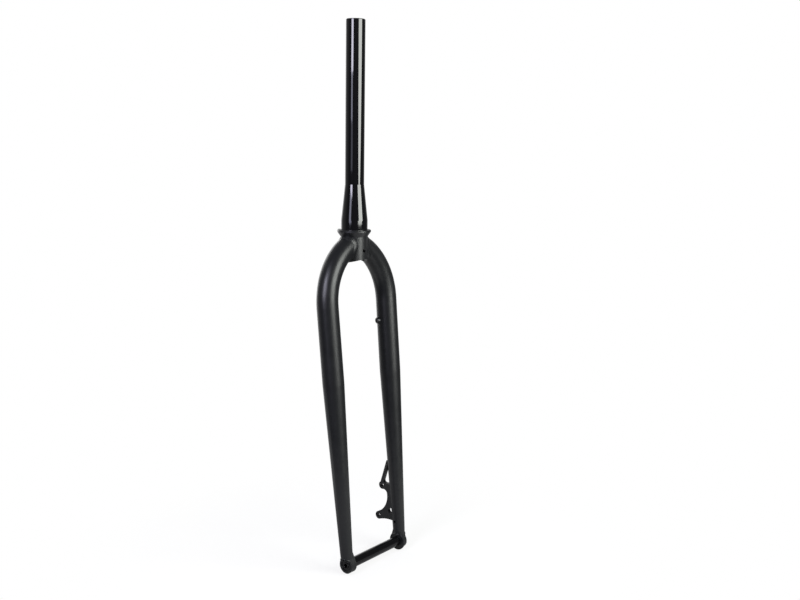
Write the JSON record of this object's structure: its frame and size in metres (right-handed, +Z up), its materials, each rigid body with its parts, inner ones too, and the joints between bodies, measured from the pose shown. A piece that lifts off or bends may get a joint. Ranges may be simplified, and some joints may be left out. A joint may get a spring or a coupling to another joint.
{
  "type": "mountain bike fork",
  "caption": "Rigid steel mountain bike fork: tapered steerer, bent tapering legs mitred to the crown, round dropouts with a thru axle, and a disc brake plate on one leg.",
  "frame": {"origin": "on the steering axis at the crown race seat, the top face of the flange", "axes": "+Z up the steering axis, -Y to the front, +X to the rider's left, where the disc brake plate is"},
  "size_m": [0.1652, 0.084, 0.8019],
  "materials": {
    "steerer_paint": "gloss black above the flange, satin black below",
    "frame_paint": "satin black",
    "axle_anodised": "black anodised"
  },
  "bodies": {
    "fork": {"steerer_tube": "steerer_paint", "left_leg": "frame_paint", "right_leg": "frame_paint", "left_dropout": "frame_paint", "right_dropout": "frame_paint", "disc_brake_tab": "frame_paint", "hose_guide_boss": "frame_paint", "crown_weld_left": "frame_paint", "crown_weld_right": "frame_paint"},
    "axle": {"thru_axle": "axle_anodised"}
  },
  "joints": [
    {"name": "axle_pull", "type": "slide", "parent": "fork", "child": "axle", "axis": [-1, 0, 0], "range_m": [0, 0.14]}
  ]
}
